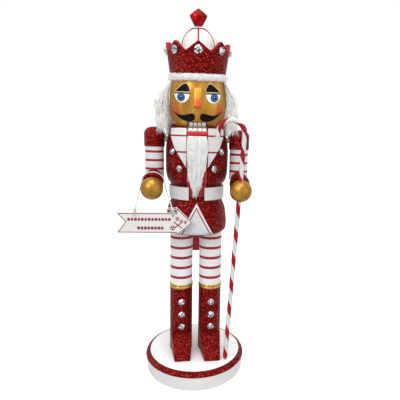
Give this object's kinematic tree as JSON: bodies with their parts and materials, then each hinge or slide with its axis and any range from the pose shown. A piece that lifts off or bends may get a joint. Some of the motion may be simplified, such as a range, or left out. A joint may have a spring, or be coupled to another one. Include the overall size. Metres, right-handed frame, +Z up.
{
  "type": "nutcracker figure",
  "caption": "Standing wooden nutcracker figure with a lever-worked jaw, crown, candy cane staff and hanging arrow sign, on a round base.",
  "frame": {"origin": "centre of the underside of the round base disc", "axes": "+Z up, the figure faces -Y, +X to the viewer's right when looking at its face"},
  "size_m": [0.133, 0.1104, 0.3811],
  "materials": {
    "base_white": "white gloss paint, red glitter on the edge",
    "red_glitter": "red glitter over red paint",
    "gold_trim": "bright gold metallised collar",
    "striped_paint": "white paint with thin red rings",
    "white_paint": "white paint with fine iridescent glitter",
    "gold_paint": "metallic gold paint",
    "bare_wood": "bare beech dowel",
    "clear_stone": "clear silver-backed faceted stone",
    "red_paint": "red satin paint",
    "white_fur": "long white faux fur or plush",
    "red_cord": "red glitter cord",
    "red_stone": "clear red faceted finial",
    "cane_paint": "white paint with a red spiral",
    "white_string": "white twisted string",
    "pin_steel": "plain steel pin"
  },
  "bodies": {
    "figure": {"arm_dowel_left": "bare_wood", "arm_dowel_right": "bare_wood", "base_disc": "base_white", "belt_left": "white_paint", "belt_right": "white_paint", "boot_band_left": "gold_trim", "boot_band_right": "gold_trim", "boot_gem_left_1": "clear_stone", "boot_gem_left_2": "clear_stone", "boot_gem_left_3": "clear_stone", "boot_gem_right_1": "clear_stone", "boot_gem_right_2": "clear_stone", "boot_gem_right_3": "clear_stone", "boot_left": "red_glitter", "boot_right": "red_glitter", "coat_body": "red_glitter", "coat_panel": "white_paint", "crown": "red_glitter", "crown_arches": "red_cord", "crown_brim": "white_fur", "crown_cap": "white_fur", "crown_gem_1": "clear_stone", "crown_gem_2": "clear_stone", "crown_gem_3": "clear_stone", "crown_gem_4": "clear_stone", "crown_gem_5": "clear_stone", "crown_gem_6": "clear_stone", "crown_gem_7": "clear_stone", "crown_gem_8": "clear_stone", "finial_gem": "red_stone", "forearm_left": "red_glitter", "forearm_right": "red_glitter", "hair": "white_fur", "hand_left": "gold_paint", "hand_right": "gold_paint", "head": "gold_paint", "lapel_gem_left_1": "clear_stone", "lapel_gem_left_2": "clear_stone", "lapel_gem_left_3": "clear_stone", "lapel_gem_right_1": "clear_stone", "lapel_gem_right_2": "clear_stone", "lapel_gem_right_3": "clear_stone", "lapel_left": "white_paint", "lapel_right": "white_paint", "leg_left": "striped_paint", "leg_right": "striped_paint", "nose": "gold_paint", "pivot_pin": "pin_steel", "toe_left": "red_glitter", "toe_right": "red_glitter", "upper_arm_left": "striped_paint", "upper_arm_right": "striped_paint", "upper_teeth": "white_paint"},
    "jaw": {"jaw_lever": "red_paint", "lower_teeth": "white_paint"},
    "beard_hair": {"beard": "white_fur"},
    "staff": {"candy_cane_staff": "cane_paint"},
    "hanging_sign": {"sign_board": "white_paint", "sign_cord": "white_string"}
  },
  "joints": [
    {"name": "jaw_hinge", "type": "hinge", "parent": "figure", "child": "jaw", "pos_m": [0, 0.004, 0.248], "axis": [1, 0, 0], "range_deg": [0, 22]},
    {"name": "beard_hang", "type": "hinge", "parent": "jaw", "child": "beard_hair", "pos_m": [0, -0.0345, 0.2595], "axis": [1, 0, 0], "range_deg": [-22, 0]},
    {"name": "staff_lift", "type": "slide", "parent": "figure", "child": "staff", "axis": [0.0549, -0.0296, 0.9981], "range_m": [0, 0.2]},
    {"name": "sign_swing", "type": "hinge", "parent": "figure", "child": "hanging_sign", "pos_m": [-0.0439, -0.0245, 0.222], "axis": [1, 0, 0], "range_deg": [-35, 0]}
  ],
  "couplings": [
    {"joint": "beard_hang", "follows": "jaw_hinge", "ratio": -1}
  ]
}
